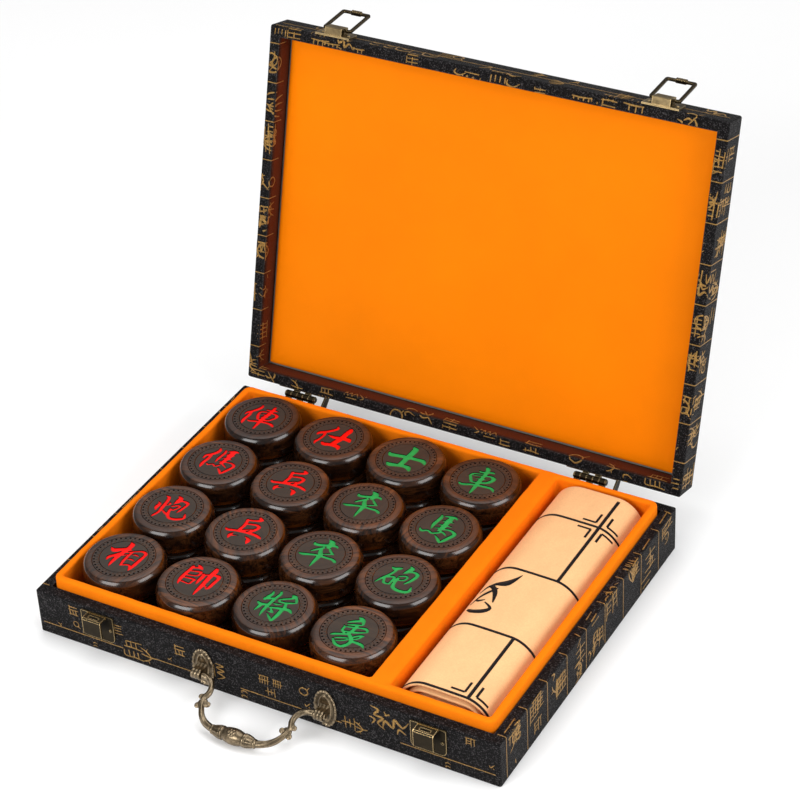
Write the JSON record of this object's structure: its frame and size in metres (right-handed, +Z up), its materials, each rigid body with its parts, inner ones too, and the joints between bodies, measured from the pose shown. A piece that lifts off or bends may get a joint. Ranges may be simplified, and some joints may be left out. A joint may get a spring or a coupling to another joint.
{
  "type": "xiangqi set in a hinged box",
  "caption": "Brocade-covered hinged box with latches and a bail handle, holding round wooden xiangqi pieces in two layers beside a rolled board.",
  "frame": {"origin": "centre of the underside of the base", "axes": "+Z up, +X to the right along the front, the front with the handle faces -Y and the hinges are at +Y"},
  "size_m": [0.35, 0.4247, 0.3037],
  "materials": {
    "grey_board": "matt",
    "brocade": "woven, dark with gold figures",
    "underside_paper": "matt",
    "orange_velvet": "short pile",
    "orange_satin": "satin, padded",
    "dark_bronze": "aged",
    "antique_brass": "aged, brushed",
    "antique_bronze": "aged, polished high spots",
    "suede": "suede, printed",
    "rosewood": "varnished"
  },
  "bodies": {
    "box_base": {"base_front_board": "grey_board", "base_back_board": "grey_board", "base_left_board": "grey_board", "base_right_board": "grey_board", "base_bottom_board": "grey_board", "base_brocade": "brocade", "base_underside_paper": "underside_paper", "liner_front_wall": "orange_velvet", "liner_back_wall": "orange_velvet", "liner_left_wall": "orange_velvet", "liner_right_wall": "orange_velvet", "liner_divider": "orange_velvet", "liner_floor_pad": "orange_velvet", "left_hinge_base_leaf": "dark_bronze", "right_hinge_base_leaf": "dark_bronze", "left_hinge_pin": "dark_bronze", "right_hinge_pin": "dark_bronze", "base_hinge_screws": "dark_bronze", "left_latch_catch": "antique_brass", "right_latch_catch": "antique_brass", "latch_catch_nails": "antique_brass", "left_handle_rosette": "antique_bronze", "right_handle_rosette": "antique_bronze", "left_handle_post": "antique_bronze", "right_handle_post": "antique_bronze"},
    "lid": {"lid_front_board": "grey_board", "lid_back_board": "grey_board", "lid_left_board": "grey_board", "lid_right_board": "grey_board", "lid_top_board": "grey_board", "lid_brocade": "brocade", "lid_satin_panel": "orange_satin", "left_hinge_lid_leaf": "dark_bronze", "right_hinge_lid_leaf": "dark_bronze", "lid_hinge_screws": "dark_bronze", "left_latch_bracket": "antique_brass", "right_latch_bracket": "antique_brass", "latch_bracket_nails": "antique_brass"},
    "left_bail": {"left_latch_bail": "antique_brass"},
    "right_bail": {"right_latch_bail": "antique_brass"},
    "handle": {"handle_bail": "antique_bronze"},
    "board_roll": {"chess_board_roll": "suede"},
    "lower_layer": {"lower_layer_pieces": "rosewood"},
    "piece_row1_col1_body": {"piece_row1_col1": "rosewood"},
    "piece_row1_col2_body": {"piece_row1_col2": "rosewood"},
    "piece_row1_col3_body": {"piece_row1_col3": "rosewood"},
    "piece_row1_col4_body": {"piece_row1_col4": "rosewood"},
    "piece_row2_col1_body": {"piece_row2_col1": "rosewood"},
    "piece_row2_col2_body": {"piece_row2_col2": "rosewood"},
    "piece_row2_col3_body": {"piece_row2_col3": "rosewood"},
    "piece_row2_col4_body": {"piece_row2_col4": "rosewood"},
    "piece_row3_col1_body": {"piece_row3_col1": "rosewood"},
    "piece_row3_col2_body": {"piece_row3_col2": "rosewood"},
    "piece_row3_col3_body": {"piece_row3_col3": "rosewood"},
    "piece_row3_col4_body": {"piece_row3_col4": "rosewood"},
    "piece_row4_col1_body": {"piece_row4_col1": "rosewood"},
    "piece_row4_col2_body": {"piece_row4_col2": "rosewood"},
    "piece_row4_col3_body": {"piece_row4_col3": "rosewood"},
    "piece_row4_col4_body": {"piece_row4_col4": "rosewood"}
  },
  "joints": [
    {"name": "lid_hinge", "type": "hinge", "parent": "box_base", "child": "lid", "pos_m": [0, 0.1382, 0.03515], "axis": [-1, 0, 0], "range_deg": [-105, 0]},
    {"name": "left_latch", "type": "hinge", "parent": "lid", "child": "left_bail", "pos_m": [-0.125, 0.21732, 0.3001], "axis": [-1, 0, 0], "range_deg": [-165, 0]},
    {"name": "right_latch", "type": "hinge", "parent": "lid", "child": "right_bail", "pos_m": [0.125, 0.21732, 0.3001], "axis": [-1, 0, 0], "range_deg": [-165, 0]},
    {"name": "handle_swing", "type": "hinge", "parent": "box_base", "child": "handle", "pos_m": [0, -0.142, 0.0175], "axis": [-1, 0, 0], "range_deg": [0, 105]},
    {"name": "board_lift", "type": "slide", "parent": "box_base", "child": "board_roll", "axis": [0, 0, 1], "range_m": [0, 0.06]},
    {"name": "lower_layer_lift", "type": "slide", "parent": "box_base", "child": "lower_layer", "axis": [0, 0, 1], "range_m": [0, 0.06]},
    {"name": "piece_row1_col1_lift", "type": "slide", "parent": "lower_layer", "child": "piece_row1_col1_body", "axis": [0, 0, 1], "range_m": [0, 0.06]},
    {"name": "piece_row1_col2_lift", "type": "slide", "parent": "lower_layer", "child": "piece_row1_col2_body", "axis": [0, 0, 1], "range_m": [0, 0.06]},
    {"name": "piece_row1_col3_lift", "type": "slide", "parent": "lower_layer", "child": "piece_row1_col3_body", "axis": [0, 0, 1], "range_m": [0, 0.06]},
    {"name": "piece_row1_col4_lift", "type": "slide", "parent": "lower_layer", "child": "piece_row1_col4_body", "axis": [0, 0, 1], "range_m": [0, 0.06]},
    {"name": "piece_row2_col1_lift", "type": "slide", "parent": "lower_layer", "child": "piece_row2_col1_body", "axis": [0, 0, 1], "range_m": [0, 0.06]},
    {"name": "piece_row2_col2_lift", "type": "slide", "parent": "lower_layer", "child": "piece_row2_col2_body", "axis": [0, 0, 1], "range_m": [0, 0.06]},
    {"name": "piece_row2_col3_lift", "type": "slide", "parent": "lower_layer", "child": "piece_row2_col3_body", "axis": [0, 0, 1], "range_m": [0, 0.06]},
    {"name": "piece_row2_col4_lift", "type": "slide", "parent": "lower_layer", "child": "piece_row2_col4_body", "axis": [0, 0, 1], "range_m": [0, 0.06]},
    {"name": "piece_row3_col1_lift", "type": "slide", "parent": "lower_layer", "child": "piece_row3_col1_body", "axis": [0, 0, 1], "range_m": [0, 0.06]},
    {"name": "piece_row3_col2_lift", "type": "slide", "parent": "lower_layer", "child": "piece_row3_col2_body", "axis": [0, 0, 1], "range_m": [0, 0.06]},
    {"name": "piece_row3_col3_lift", "type": "slide", "parent": "lower_layer", "child": "piece_row3_col3_body", "axis": [0, 0, 1], "range_m": [0, 0.06]},
    {"name": "piece_row3_col4_lift", "type": "slide", "parent": "lower_layer", "child": "piece_row3_col4_body", "axis": [0, 0, 1], "range_m": [0, 0.06]},
    {"name": "piece_row4_col1_lift", "type": "slide", "parent": "lower_layer", "child": "piece_row4_col1_body", "axis": [0, 0, 1], "range_m": [0, 0.06]},
    {"name": "piece_row4_col2_lift", "type": "slide", "parent": "lower_layer", "child": "piece_row4_col2_body", "axis": [0, 0, 1], "range_m": [0, 0.06]},
    {"name": "piece_row4_col3_lift", "type": "slide", "parent": "lower_layer", "child": "piece_row4_col3_body", "axis": [0, 0, 1], "range_m": [0, 0.06]},
    {"name": "piece_row4_col4_lift", "type": "slide", "parent": "lower_layer", "child": "piece_row4_col4_body", "axis": [0, 0, 1], "range_m": [0, 0.06]}
  ]
}
